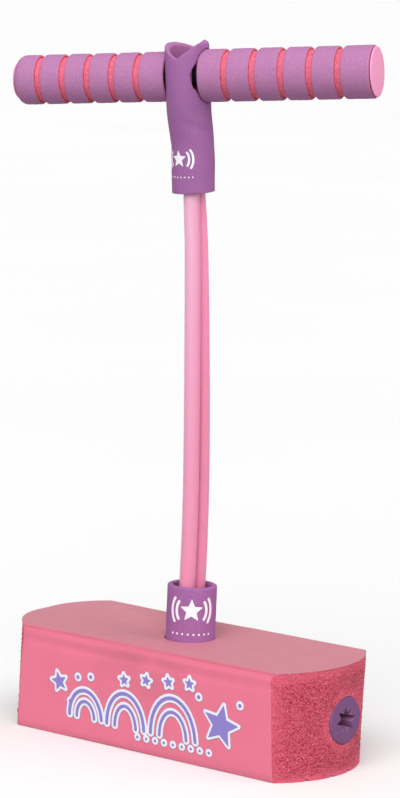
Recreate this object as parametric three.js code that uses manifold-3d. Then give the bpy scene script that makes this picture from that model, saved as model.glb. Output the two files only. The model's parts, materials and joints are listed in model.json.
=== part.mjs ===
// Soft pogo jumper: a foam foot block, a doubled elastic cord and a foam-covered T handle.
// Millimetres. Origin at the centre of the underside, +X along the block, +Y back, +Z up.
import * as THREE from 'three';
import { mergeVertices } from 'three/addons/utils/BufferGeometryUtils.js';
import Module from 'manifold-3d';

const wasm = await Module();
wasm.setup();

const GAP = 0.35;
const UP = new THREE.Vector3(0, 0, 1);

const BLOCK = {
  length: 275, width: 109.2, height: 76.9, endSagitta: 23.1, taper: 4.45, topRound: 4.5, soleRound: 2,
  leftSlant: 6.2, leftPlumb: 33,
};
const TREAD = { pitch: 20, width: 3.2, depth: 2 };
const ROD = { radius: 6, halfLength: 72, z: 39 };
const WELL = { radius: 18.6, floor: 19 };
const COLLAR = { outer: 17.6, inner: 13.5, bottom: 56.6, top: 114, pivot: 66, x: 0.6, y: 0.5 };
const COLLAR_TILT = THREE.MathUtils.degToRad(1.4);
const TILT_TOWARD = THREE.MathUtils.degToRad(38);
const END_BORE = { radius: 17, start: 75.5, y: 3.8, z: 37.6 };
const PLUG = { radius: 16.7, inner: 114.5, outer: 136.6, round: 1.6 };
const STAR = { tip: 9.8, root: 5.4, points: 8 };
const BULB = { radius: 15.5, wall: 1.4, start: 78.5, end: 113.5, neck: 4.6, neckLength: 7 };
const REED = { radius: 2.85, length: 5.5, slot: 1.2 };

const CORD = { radius: 5.65, half: 5.88, loopGap: 0.3, pressed: 0.42, pressedDepth: 24, spread: 0.15 };
const TURN = THREE.MathUtils.degToRad(20);
const TILT = THREE.MathUtils.degToRad(2.95);
const LEAN = THREE.MathUtils.degToRad(3);
const BAR_CENTRE = new THREE.Vector3(-5.0, -6.4, 471.8);

const TUBE = { radius: 6.5, inner: 5 };
const NECK = {
  radius: 15.3, wall: 3.4, bottom: -80.4, top: 25.5, bulge: 22.4, sides: 15.2, bend: 1.25,
  notchZ: 16, notchS: -0.5, notchSlope: 0.57, notchTilt: THREE.MathUtils.degToRad(8),
};
const GRIP = { start: 12.3, coreDepth: 1.95, skin: 1.65, groove: 4, round: 1.1, bore: 6.85, bands: 6 };
const SIDES = [
  { name: 'left', sign: -1, radius: 17.3, first: 32.4, pitch: 18.3, end: 124.4, hole: [11.5, 12.5] },
  { name: 'right', sign: 1, radius: 18.2, first: 31.4, pitch: 20.2, end: 135.2, hole: [18.4, 15.4] },
];
const CAP = { inset: 0.7, thickness: 1.1, dome: 0.8, spigot: 4.7, spigotLength: 14 };

const MATERIAL = {
  pinkFoam: { color: 0xea7f96, roughness: 0.85 },
  purpleFoam: { color: 0xa86bb0, roughness: 0.85 },
  plugFoam: { color: 0x82509a, roughness: 0.85 },
  cord: { color: 0xf29ac0, roughness: 0.45 },
  core: { color: 0xee6a86, roughness: 0.85 },
  cap: { color: 0xf0a0c4, roughness: 0.7 },
  plastic: { color: 0xe9e6e2, roughness: 0.5 },
  barPlastic: { color: 0x35343a, roughness: 0.5 },
  bulb: { color: 0xf4efe6, roughness: 0.4 },
  reed: { color: 0xd9483c, roughness: 0.4 },
};

const group = new THREE.Group();
group.name = 'pogo_jumper';

function toSolid(geometry) {
  const bare = geometry.index ? geometry.toNonIndexed() : geometry.clone();
  bare.deleteAttribute('normal');
  bare.deleteAttribute('uv');
  const merged = mergeVertices(bare, 1e-4);
  return new wasm.Manifold(new wasm.Mesh({
    numProp: 3,
    vertProperties: Float32Array.from(merged.attributes.position.array),
    triVerts: Uint32Array.from(merged.index.array),
  }));
}

function toGeometry(solid) {
  const mesh = solid.getMesh();
  const geometry = new THREE.BufferGeometry();
  geometry.setAttribute('position', new THREE.BufferAttribute(Float32Array.from(mesh.vertProperties), 3));
  geometry.setIndex(new THREE.BufferAttribute(Uint32Array.from(mesh.triVerts), 1));
  geometry.computeVertexNormals();
  return geometry;
}

function addPart(name, shape, look) {
  const geometry = shape.isBufferGeometry ? shape : toGeometry(shape);
  const material = new THREE.MeshStandardMaterial({ ...look, metalness: 0 });
  const mesh = new THREE.Mesh(geometry, material);
  mesh.name = name;
  group.add(mesh);
}

// A solid of revolution about +Z from a closed list of [radius, z] pairs.
function turned(profile, segments = 40) {
  const points = profile.map(([r, z]) => new THREE.Vector2(r, z));
  const closed = profile[0][0] < 1e-6 ? points : [...points, points[0].clone()];
  const geometry = new THREE.LatheGeometry(closed, segments);
  geometry.rotateX(Math.PI / 2);
  return geometry;
}

// The same solid laid along +X (sign 1) or -X (sign -1).
function turnedAlongX(profile, sign = 1, segments = 40) {
  return turned(profile, segments).rotateY((sign * Math.PI) / 2);
}

function cylinder(radius, z0, z1, segments = 40) {
  return turned([[0, z0], [radius, z0], [radius, z1], [0, z1]], segments);
}

function roundedTube(inner, outer, z0, z1, round, segments = 36) {
  const profile = [[inner, z0], [outer - round, z0]];
  for (let i = 1; i <= 2; i += 1) {
    const a = (i / 2) * (Math.PI / 2);
    profile.push([outer - round + round * Math.sin(a), z0 + round - round * Math.cos(a)]);
  }
  for (let i = 0; i <= 2; i += 1) {
    const a = (i / 2) * (Math.PI / 2);
    profile.push([outer - round + round * Math.cos(a), z1 - round + round * Math.sin(a)]);
  }
  profile.push([inner, z1]);
  return turned(profile, segments);
}

function extrudeZ(points, z0, z1, steps = 1) {
  const shape = new THREE.Shape(points.map(([x, y]) => new THREE.Vector2(x, y)));
  const options = { depth: z1 - z0, steps, bevelEnabled: false, curveSegments: 1 };
  const geometry = new THREE.ExtrudeGeometry(shape, options);
  return geometry.translate(0, 0, z0);
}

// ---- T handle frame: +X along the bar, +Y back, +Z up the neck -----------------------------
const along = new THREE.Vector3(Math.cos(TILT), 0, Math.sin(TILT)).applyAxisAngle(UP, TURN);
const upright = new THREE.Vector3(-Math.sin(TILT), 0, Math.cos(TILT)).applyAxisAngle(UP, TURN);
const handleFrame = new THREE.Matrix4()
  .makeBasis(along, upright.clone().cross(along), upright)
  .multiply(new THREE.Matrix4().makeRotationX(LEAN))
  .setPosition(BAR_CENTRE);
const inHandle = (geometry) => geometry.applyMatrix4(handleFrame);
const handlePoint = (x, y, z) => new THREE.Vector3(x, y, z).applyMatrix4(handleFrame);

// ---- foot block ---------------------------------------------------------------------------
const plainRod = (r, half) => turnedAlongX([[0, -half], [r, -half], [r, half], [0, half]], 1, 28);
const inBore = (geometry) => geometry.translate(0, END_BORE.y, END_BORE.z);

function blockOutline() {
  const half = BLOCK.width / 2;
  const corner = BLOCK.length / 2 - BLOCK.endSagitta;
  const radius = (half * half + BLOCK.endSagitta ** 2) / (2 * BLOCK.endSagitta);
  const sweep = Math.asin(half / radius);
  const points = [];
  for (const sign of [1, -1]) {
    for (let i = 0; i <= 20; i += 1) {
      const a = -sweep + (2 * sweep * i) / 20;
      const x = corner + BLOCK.endSagitta - radius + radius * Math.cos(a);
      points.push([sign * x, sign * radius * Math.sin(a)]);
    }
  }
  return points;
}

function taperedPlan() {
  const geometry = extrudeZ(blockOutline(), -1, BLOCK.height + 1, 1);
  const corner = BLOCK.length / 2 - BLOCK.endSagitta;
  const p = geometry.attributes.position;
  for (let i = 0; i < p.count; i += 1) {
    const factor = 1 - ((2 * BLOCK.taper) / BLOCK.width) * (1 - p.getZ(i) / BLOCK.height);
    const x = p.getX(i);
    const slant = x < 0 ? (BLOCK.leftSlant * (p.getZ(i) - BLOCK.leftPlumb)) / BLOCK.height : 0;
    p.setX(i, Math.sign(x) * (corner + (Math.abs(x) - corner) * factor) + slant);
    p.setY(i, p.getY(i) * factor);
  }
  return toSolid(geometry);
}

function roundedCorner(cx, cz, radius, from, to, steps) {
  const points = [];
  for (let i = 0; i <= steps; i += 1) {
    const a = THREE.MathUtils.degToRad(from + ((to - from) * i) / steps);
    points.push([cx + radius * Math.cos(a), cz + radius * Math.sin(a)]);
  }
  return points;
}

function blockSection() {
  const top = BLOCK.width / 2;
  const foot = top - BLOCK.taper;
  const flare = THREE.MathUtils.radToDeg(Math.atan(BLOCK.taper / BLOCK.height));
  const soleY = foot - BLOCK.soleRound + 0.05;
  const topY = top - BLOCK.topRound - 0.12;
  const right = [
    ...roundedCorner(soleY, BLOCK.soleRound, BLOCK.soleRound, -90, -flare, 4),
    ...roundedCorner(topY, BLOCK.height - BLOCK.topRound, BLOCK.topRound, -flare, 90, 7),
  ];
  const outline = [...right, ...right.map(([y, z]) => [-y, z]).reverse()];
  const geometry = extrudeZ(outline, -BLOCK.length, BLOCK.length);
  return toSolid(geometry.rotateX(Math.PI / 2).rotateZ(Math.PI / 2));
}

function footBlock() {
  let solid = taperedPlan().intersect(blockSection());
  for (const k of [-1.5, -0.5, 0.5, 1.5]) {
    const groove = new THREE.BoxGeometry(BLOCK.length + 20, TREAD.width, 2 * TREAD.depth);
    solid = solid.subtract(toSolid(groove.translate(0, k * TREAD.pitch, 0)));
  }
  const seat = cylinder(COLLAR.outer + 2 * GAP, COLLAR.bottom - 1, BLOCK.height + 5);
  solid = solid.subtract(toSolid(seat.translate(COLLAR.x, COLLAR.y, 0)));
  solid = solid.subtract(toSolid(cylinder(WELL.radius, WELL.floor, COLLAR.bottom - 0.9)));
  const reach = BLOCK.length / 2 + 5;
  const rodHole = plainRod(ROD.radius + GAP, reach);
  solid = solid.subtract(toSolid(rodHole.translate(0, 0, ROD.z)));
  for (const sign of [-1, 1]) {
    const r = END_BORE.radius;
    const bore = turnedAlongX([[0, END_BORE.start], [r, END_BORE.start], [r, reach], [0, reach]], sign);
    solid = solid.subtract(toSolid(inBore(bore)));
  }
  return solid;
}

function endPlug(sign) {
  const body = roundedTube(0, PLUG.radius, PLUG.inner, PLUG.outer, PLUG.round);
  const star = [];
  for (let i = 0; i < 2 * STAR.points; i += 1) {
    const r = i % 2 === 0 ? STAR.tip : STAR.root;
    const a = (i * Math.PI) / STAR.points;
    star.push([r * Math.cos(a), r * Math.sin(a)]);
  }
  const cut = extrudeZ(star, PLUG.inner - 2, PLUG.outer + 2);
  const solid = toSolid(body).subtract(toSolid(cut));
  return inBore(toGeometry(solid).rotateY((sign * Math.PI) / 2));
}

// Hollow bellows bulb with its mouth toward the plug, and the reed that sits in the mouth.
function squeakerBulb(sign) {
  const { radius: r, wall: w, start, end, neck, neckLength } = BULB;
  const shoulder = end - neckLength;
  const pleats = shoulder - start - 7;
  const ribs = [0, 1, 2, 3, 4].map((i) => [i % 2 === 0 ? r - 2 : r, start + 3 + (i * pleats) / 4]);
  const outside = [[0, start], [r - 5, start], ...ribs, [neck, shoulder], [neck, end]];
  const insideRibs = ribs.map(([x, z]) => [x - w, z]).reverse();
  const floor = start + w;
  const inside = [[neck - w, end], [neck - w, shoulder - 1], ...insideRibs, [r - 5 - w, floor], [0, floor]];
  return inBore(turnedAlongX([...outside, ...inside], sign, 28));
}

function squeakerReed(sign) {
  const z1 = BULB.end;
  const z0 = z1 - REED.length;
  const body = toSolid(cylinder(REED.radius, z0, z1, 24));
  const slot = new THREE.BoxGeometry(REED.slot, 3.4, 2 * REED.length).translate(0, 0, (z0 + z1) / 2);
  return inBore(toGeometry(body.subtract(toSolid(slot))).rotateY((sign * Math.PI) / 2));
}

// The collar leans a little in its hole, toward the side that the cord bows to.
function collar() {
  const tube = roundedTube(COLLAR.inner, COLLAR.outer, COLLAR.bottom, COLLAR.top, 1.2);
  tube.translate(0, 0, -COLLAR.pivot).rotateY(COLLAR_TILT).rotateZ(TILT_TOWARD);
  return tube.translate(COLLAR.x, COLLAR.y, COLLAR.pivot);
}

// ---- elastic cord: one endless loop under the anchor rod and over the handlebar tube -------
const smooth = (t) => THREE.MathUtils.smoothstep(t, 0, 1);
const BOW = [
  [0, 0, 20], [0, 0, 58], [0.6, 0.48, 85], [1.5, 1.2, 113], [2.5, 2.0, 170], [2.3, 1.8, 230],
  [1.1, 0.9, 315], [-0.5, 0.4, 365],
];
const centreLine = new THREE.CatmullRomCurve3([
  ...BOW.map((p) => new THREE.Vector3(...p)),
  ...[[0.7, -80], [0.9, -64], [0.7, -48], [0, 0]].map(([x, z]) => handlePoint(x, 0, z)),
]);
const CENTRE_SAMPLES = centreLine.getSpacedPoints(240);

function centreAt(z) {
  const i = CENTRE_SAMPLES.findIndex((p) => p.z >= z);
  const a = CENTRE_SAMPLES[Math.max(i - 1, 0)];
  const b = CENTRE_SAMPLES[i < 0 ? CENTRE_SAMPLES.length - 1 : i];
  const t = b.z > a.z ? (z - a.z) / (b.z - a.z) : 0;
  return a.clone().lerp(b, THREE.MathUtils.clamp(t, 0, 1));
}

const LOW_LOOP = ROD.radius + CORD.loopGap + CORD.radius;
const HIGH_LOOP = TUBE.radius + CORD.loopGap + CORD.radius;
const SPREAD_LOW = 62;
const SPREAD_HIGH = 48;

function strandPoint(side, z) {
  const twist = TURN * THREE.MathUtils.clamp((z - 190) / 215, 0, 1) ** 2.2;
  let half = CORD.half;
  half += (LOW_LOOP - CORD.half) * smooth((SPREAD_LOW - z) / (SPREAD_LOW - ROD.z));
  const offset = new THREE.Vector3(-Math.sin(twist), Math.cos(twist), 0).multiplyScalar(side * half);
  return centreAt(z).add(offset);
}

function highStrandPoint(side, down) {
  const half = CORD.half + (HIGH_LOOP - CORD.half) * smooth((SPREAD_HIGH - down) / SPREAD_HIGH);
  return handlePoint(0.9 * smooth(down / 50), side * half, -down);
}

// The stretched cord lies flatter where it bends over the bar.
function pressedOnBar(geometry) {
  const contact = TUBE.radius + CORD.loopGap;
  const p = geometry.attributes.position;
  const toHandle = handleFrame.clone().invert();
  const v = new THREE.Vector3();
  for (let i = 0; i < p.count; i += 1) {
    v.fromBufferAttribute(p, i).applyMatrix4(toHandle);
    const near = smooth((v.z + CORD.pressedDepth) / CORD.pressedDepth);
    const away = Math.hypot(v.y, Math.max(v.z, 0));
    const pressed = contact + (away - contact) * (1 - CORD.pressed * near);
    const factor = away > 1e-6 && near > 0 ? pressed / away : 1;
    v.set(v.x * (1 + CORD.spread * near), v.y * factor, v.z > 0 ? v.z * factor : v.z);
    v.applyMatrix4(handleFrame);
    p.setXYZ(i, v.x, v.y, v.z);
  }
  return geometry;
}

function halfLoop(side) {
  const points = [];
  for (const a of [-4, 15, 35, 55, 75]) {
    const t = THREE.MathUtils.degToRad(a);
    points.push(new THREE.Vector3(0, side * LOW_LOOP * Math.sin(t), ROD.z - LOW_LOOP * Math.cos(t)));
  }
  for (const z of [ROD.z, 44, 50, 56, 63, 75, 95, 120, 150, 185, 220, 255, 290, 325, 355, 376]) {
    points.push(strandPoint(side, z));
  }
  for (const down of [72, 60, 49, 41, 33, 25, 17, 9]) {
    points.push(highStrandPoint(side, down));
  }
  for (const a of [0, 20, 40, 60, 78, 94]) {
    const t = THREE.MathUtils.degToRad(a);
    points.push(handlePoint(0, side * HIGH_LOOP * Math.cos(t), HIGH_LOOP * Math.sin(t)));
  }
  const path = new THREE.CatmullRomCurve3(points, false, 'centripetal');
  const round = new THREE.Shape();
  round.absarc(0, 0, CORD.radius, 0, 2 * Math.PI);
  const options = { steps: 84, curveSegments: 7, bevelEnabled: false, extrudePath: path };
  const geometry = new THREE.ExtrudeGeometry(round, options);
  return toSolid(pressedOnBar(geometry));
}

// ---- neck sleeve ---------------------------------------------------------------------------
function neckShell(inset) {
  const circle = [];
  for (let i = 0; i < 36; i += 1) {
    circle.push([Math.cos((i * Math.PI) / 18), Math.sin((i * Math.PI) / 18)]);
  }
  const reach = inset > 0 ? 2 : 0;
  const geometry = extrudeZ(circle, NECK.bottom - reach, NECK.top + reach, 22);
  const p = geometry.attributes.position;
  for (let i = 0; i < p.count; i += 1) {
    const z = p.getZ(i);
    const swell = z < 0 ? smooth((z + 56) / 52) : 1 - 0.55 * smooth((z - 8) / 24);
    const sides = NECK.radius + (NECK.sides - NECK.radius) * smooth((z + 50) / 40);
    const depth = NECK.radius + (NECK.bulge - NECK.radius) * swell;
    const bend = NECK.bend * (smooth((-22 - z) / 26) - 0.75 * smooth((-54 - z) / 26));
    p.setX(i, p.getX(i) * (sides - inset) + bend);
    p.setY(i, p.getY(i) * (depth - inset));
  }
  return toSolid(geometry);
}

function neckSleeve() {
  let solid = neckShell(0).subtract(neckShell(NECK.wall));
  for (const side of SIDES) {
    const hole = cylinder(1, 0, 40, 36).rotateY((side.sign * Math.PI) / 2).scale(1, ...side.hole);
    solid = solid.subtract(toSolid(hole));
    const r = side.radius + GAP;
    const room = turnedAlongX([[0, GRIP.start - GAP], [r, GRIP.start - GAP], [r, 60], [0, 60]], side.sign);
    solid = solid.subtract(toSolid(room));
  }
  const wide = 30;
  const rise = NECK.notchZ + NECK.notchSlope * wide;
  const notch = [[NECK.notchS, NECK.notchZ], [NECK.notchS + wide, rise], [NECK.notchS + wide, 60],
    [NECK.notchS - wide, 60], [NECK.notchS - wide, rise]];
  const wedge = extrudeZ(notch, -60, 60).rotateX(Math.PI / 2).rotateX(NECK.notchTilt);
  return inHandle(toGeometry(solid.subtract(toSolid(wedge))));
}

// ---- handlebar -----------------------------------------------------------------------------
const ringProfile = (r0, r1, z0, z1) => [[r0, z0], [r1, z0], [r1, z1], [r0, z1]];

function handlebarTube() {
  const [left, right] = SIDES;
  return inHandle(turnedAlongX(ringProfile(TUBE.inner, TUBE.radius, -left.end, right.end), 1, 32));
}

function gripParts(side) {
  const floor = side.radius - GRIP.coreDepth;
  const core = turnedAlongX(ringProfile(GRIP.bore, floor, GRIP.start + 0.6, side.end - GAP), side.sign);
  addPart(`grip_core_${side.name}`, inHandle(core), MATERIAL.core);
  for (let i = 0; i < GRIP.bands; i += 1) {
    const from = i === 0 ? GRIP.start : side.first + (i - 1) * side.pitch + GRIP.groove / 2;
    const to = i === GRIP.bands - 1 ? side.end - GAP : side.first + i * side.pitch - GRIP.groove / 2;
    const ring = roundedTube(side.radius - GRIP.skin, side.radius, from, to, GRIP.round);
    ring.rotateY((side.sign * Math.PI) / 2);
    addPart(`grip_band_${side.name}_${i + 1}`, inHandle(ring), MATERIAL.purpleFoam);
  }
  const { inset, thickness, dome, spigot, spigotLength } = CAP;
  const rim = side.radius - inset;
  const face = side.end + thickness;
  const cap = [[0, side.end - spigotLength], [spigot, side.end - spigotLength], [spigot, side.end],
    [rim - 0.3, side.end], [rim, side.end + 0.3], [rim, face - 0.5], [rim - 0.5, face],
    [0.6 * side.radius, face + 0.65 * dome], [0, face + dome]];
  addPart(`end_cap_${side.name}`, inHandle(turnedAlongX(cap, side.sign)), MATERIAL.cap);
}

// ---- assembly ------------------------------------------------------------------------------
addPart('foam_block', footBlock(), MATERIAL.pinkFoam);
addPart('anchor_rod', plainRod(ROD.radius, ROD.halfLength).translate(0, 0, ROD.z), MATERIAL.plastic);
for (const [name, sign] of [['left', -1], ['right', 1]]) {
  addPart(`end_plug_${name}`, endPlug(sign), MATERIAL.plugFoam);
  addPart(`squeaker_bulb_${name}`, squeakerBulb(sign), MATERIAL.bulb);
  addPart(`squeaker_reed_${name}`, squeakerReed(sign), MATERIAL.reed);
}
addPart('base_collar', collar(), MATERIAL.purpleFoam);
addPart('elastic_cord', halfLoop(-1).add(halfLoop(1)), MATERIAL.cord);
addPart('neck_sleeve', neckSleeve(), MATERIAL.purpleFoam);
addPart('handlebar_tube', handlebarTube(), MATERIAL.barPlastic);
SIDES.forEach(gripParts);

export default group;
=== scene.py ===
"""Soft pogo jumper: foam foot block, doubled elastic cord and foam-covered T handle.

Lengths in the shape code are millimetres, in the CAD frame; build() turns them into metres.
"""
import json
import math

import bmesh
import bpy
import numpy as np
from mathutils import Matrix, Vector, noise
from mathutils.bvhtree import BVHTree


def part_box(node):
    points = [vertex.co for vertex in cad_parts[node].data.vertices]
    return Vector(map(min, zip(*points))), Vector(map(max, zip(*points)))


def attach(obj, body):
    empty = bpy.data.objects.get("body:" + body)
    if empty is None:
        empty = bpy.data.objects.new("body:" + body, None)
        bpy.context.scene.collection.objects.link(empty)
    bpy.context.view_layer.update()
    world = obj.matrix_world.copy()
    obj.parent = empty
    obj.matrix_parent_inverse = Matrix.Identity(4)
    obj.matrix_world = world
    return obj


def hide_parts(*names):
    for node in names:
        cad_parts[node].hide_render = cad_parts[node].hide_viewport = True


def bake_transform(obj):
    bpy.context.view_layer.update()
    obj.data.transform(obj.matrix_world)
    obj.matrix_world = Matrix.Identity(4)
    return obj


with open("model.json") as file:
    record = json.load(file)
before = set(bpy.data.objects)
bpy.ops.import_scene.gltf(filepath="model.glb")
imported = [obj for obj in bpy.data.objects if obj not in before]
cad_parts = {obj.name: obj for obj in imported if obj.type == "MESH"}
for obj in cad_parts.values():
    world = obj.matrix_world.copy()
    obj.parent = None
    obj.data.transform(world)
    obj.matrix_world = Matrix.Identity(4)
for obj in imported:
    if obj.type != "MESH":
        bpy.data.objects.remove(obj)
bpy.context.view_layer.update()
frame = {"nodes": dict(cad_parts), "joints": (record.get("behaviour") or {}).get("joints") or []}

MM = 0.001
RNG = np.random.default_rng(20417)
QUARTER = math.pi / 2
STILL = Matrix.Identity(4)

# ---- sizes that the CAD model uses, in millimetres ----
BLOCK_LOW, BLOCK_HIGH = (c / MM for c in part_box("foam_block"))
BLOCK_WIDTH = BLOCK_HIGH.y - BLOCK_LOW.y
BLOCK_HEIGHT = BLOCK_HIGH.z
HALF_LENGTH = 137.5
SAGITTA = 23.1  # how far an end bulges beyond its corners
TAPER = 4.45  # how far each side draws in from the top to the sole
TOP_ROUND = 5.6
SOLE_ROUND = 2.0
LEFT_SLANT = 7.4  # lean of the left end over the block's height
LEFT_SWELL, LEFT_CORNER = 1.7, 2.0  # how far it bulges beside its middle and draws in at its corners
LEFT_LIFT = 0.8  # how much higher the top stands there
LEFT_PLUMB = 33.0  # height where the leaning end is where an upright one would be
TREADS = (10.0, 30.0)  # the sole's grooves, on each side of its middle
TREAD_DEPTH = 2.0
TREAD_MOUTH, TREAD_BED = 2.0, 0.9  # half of a groove's width at the sole and at its bed
ROD_Z = 39.0
ROD_RADIUS = 6.0
ROD_END = 75.4
BORE_Y, BORE_Z = 3.8, 37.6
BORE_RADIUS = 17.0
BORE_START = 75.5
STAR_TIP, STAR_ROOT = 9.8, 6.0
WELL_RADIUS = 18.6
WELL_FLOOR = 19.0

COLLAR_OUTER = 17.6
COLLAR_INNER = 13.5
COLLAR_LOW = 56.6
COLLAR_HIGH = 114.0
COLLAR_PIVOT = Vector((0.6, 0.5, 66.0))
COLLAR_LEAN = math.radians(1.4)
COLLAR_TOWARD = math.radians(38)

CORD_RADIUS = 5.65
CORD_HALF = 5.88  # half the distance between the two runs
LOW_LOOP = ROD_RADIUS + 0.3 + CORD_RADIUS
BAR_CONTACT = 6.5 + 0.3
HIGH_LOOP = BAR_CONTACT + CORD_RADIUS
PRESSED = 0.42  # how much thinner the cord is where it bends over the bar
PRESSED_DEPTH = 24.0
SPREAD = 0.15  # how much wider it is there
TURN = math.radians(20)  # twist of the two runs between collar and handle
TWIST_LOW, TWIST_HIGH = 170, 405
PART_LOW = 62  # below this height the runs part to go round the rod
PART_HIGH = 48  # this near to the bar they part to go over it

SPIN = next(j for j in frame["joints"] if j["name"] == "bar_spin")
BAR = Vector(SPIN["pos_m"]) / MM
ALONG = Vector(SPIN["axis"]).normalized()
LEAN = math.radians(3)
NECK_LOW, NECK_HIGH = -80.4, 25.5
NECK_RADIUS = 15.3
NECK_SWOLLEN = 22.4  # half its depth at the bar
NECK_WALL = 3.4
SIDES = {
    "left": dict(sign=-1, radius=17.3, first=32.4, pitch=18.3, end=124.4, wide=11.5, high=12.5),
    "right": dict(sign=1, radius=18.2, first=31.4, pitch=20.2, end=135.2, wide=18.4, high=15.4),
}
GRIP_START = 12.3
GRIP_BORE = 6.85
GROOVE = 4.0
BANDS = 6
BAND_SKIN = 1.68  # thickness of a band
CAP_GAP = 0.35
CAP_TOP = 1.1  # how far a cap's rim stands out past the grip's end


def axes_matrix(x, y, z, origin):
    matrix = Matrix((x, y, z)).transposed().to_4x4()
    matrix.translation = origin
    return matrix


def handle_matrix():
    """Handle frame: +X along the bar, +Y back, +Z up the neck."""
    upright = (Vector((0, 0, 1)) - ALONG * ALONG.z).normalized()
    return axes_matrix(ALONG, upright.cross(ALONG), upright, BAR) @ Matrix.Rotation(LEAN, 4, "X")


HANDLE = handle_matrix()
COLLAR_MATRIX = (Matrix.Translation(COLLAR_PIVOT) @ Matrix.Rotation(COLLAR_TOWARD, 4, "Z")
                 @ Matrix.Rotation(COLLAR_LEAN, 4, "Y") @ Matrix.Rotation(-COLLAR_TOWARD, 4, "Z"))


# ---- small helpers ----
def smooth(t):
    t = np.clip(t, 0, 1)
    return t * t * (3 - 2 * t)


def wave(points, size, seed=0.0):
    """Smooth noise from -1 to 1 at each point, with lumps about size millimetres across."""
    shift = Vector((seed * 17.3, seed * 5.1, seed * 9.7))
    return np.array([noise.noise(Vector(p) / size + shift) for p in points])


def placed(points, matrix):
    points = np.asarray(points, float)
    m = np.array(matrix)
    return points @ m[:3, :3].T + m[:3, 3]


def arc(x, y, rx, ry, start, stop, count):
    """Points on part of an ellipse about (x, y), between two angles in radians."""
    return [(x + rx * math.cos(a), y + ry * math.sin(a)) for a in np.linspace(start, stop, count)]


def linked(name, data):
    obj = bpy.data.objects.new(name, data)
    bpy.context.scene.collection.objects.link(obj)
    return obj


def build(name, points, faces, slots=None):
    mesh = bpy.data.meshes.new(name)
    mesh.from_pydata((np.asarray(points, float) * MM).tolist(), [], [list(f) for f in faces])
    mesh.update()
    mesh.polygons.foreach_set("use_smooth", [True] * len(mesh.polygons))
    if slots is not None:
        mesh.polygons.foreach_set("material_index", slots)
    return linked(name, mesh)


def edited(obj, change):
    bm = bmesh.new()
    bm.from_mesh(obj.data)
    change(bm)
    bm.to_mesh(obj.data)
    bm.free()
    return obj


def face_out(obj):
    return edited(obj, lambda bm: bmesh.ops.recalc_face_normals(bm, faces=bm.faces))


def sharp_edges(obj, degrees):
    """Edges that turn more than this keep a crisp line in the shading."""
    def mark(bm):
        for e in bm.edges:
            e.smooth = not (len(e.link_faces) == 2 and e.calc_face_angle(0) > math.radians(degrees))

    return edited(obj, mark)


def joining_faces(one, other):
    """Quads between two rings of point numbers."""
    n = len(one)
    return [(one[c], one[(c + 1) % n], other[(c + 1) % n], other[c]) for c in range(n)]


def loft(name, points, rows, slots=None):
    """A closed solid through equal rows of points, with a flat face at each end."""
    rings = np.arange(len(points)).reshape(rows, -1)
    faces = [face for one, other in zip(rings, rings[1:]) for face in joining_faces(one, other)]
    return face_out(build(name, points, [*faces, rings[0], rings[-1]], slots))


def bake(obj):
    """Replaces the mesh by what its modifiers make of it."""
    bpy.context.view_layer.update()
    dg = bpy.context.evaluated_depsgraph_get()
    mesh = bpy.data.meshes.new_from_object(obj.evaluated_get(dg))
    obj.modifiers.clear()
    obj.data = mesh
    return obj


def cut(obj, *tools):
    for tool in tools:
        m = obj.modifiers.new("cut", "BOOLEAN")
        m.operation = "DIFFERENCE"
        m.solver = "EXACT"
        m.object = tool
        bake(obj)
        bpy.data.objects.remove(tool)
    return obj


def turned(name, profile, matrix=STILL, segments=64, slots=None, lumps=0.0, seed=1):
    """A solid of revolution about local +Z from a closed list of (radius, z)."""
    angle = np.arange(segments) * 2 * math.pi / segments
    points, index = [], []
    for r, z in profile:
        if r < 1e-6:
            index.append([len(points)] * segments)
            points.append((0, 0, z))
        else:
            index.append(list(range(len(points), len(points) + segments)))
            points.extend((r * math.cos(a), r * math.sin(a), z) for a in angle)
    faces, kinds = [], []
    for i in range(len(profile)):
        j = (i + 1) % len(profile)
        if max(profile[i][0], profile[j][0]) < 1e-6:
            continue
        for loop in joining_faces(index[i], index[j]):
            faces.append([v for k, v in enumerate(loop) if v not in loop[:k]])
            kinds.append(slots[i] if slots else 0)
    points = np.array(points)
    if lumps:
        radial = points * (1, 1, 0)
        length = np.maximum(np.linalg.norm(radial, axis=1), 1e-6)[:, None]
        points = points + radial / length * (lumps * wave(points, 9, seed))[:, None]
        points[:, 2] += 0.6 * lumps * wave(points, 7, seed + 3)
    return face_out(build(name, placed(points, matrix), faces, kinds))


def mesh_points(mesh):
    flat = np.empty(len(mesh.vertices) * 3)
    mesh.vertices.foreach_get("co", flat)
    return flat.reshape(-1, 3) / MM


def set_grain(obj, coords):
    """Texture coordinates in millimetres that stay on the piece as it moves or bends."""
    attribute = obj.data.attributes.new("grain", "FLOAT_VECTOR", "POINT")
    attribute.data.foreach_set("vector", coords.astype(np.float32).ravel())


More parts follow.
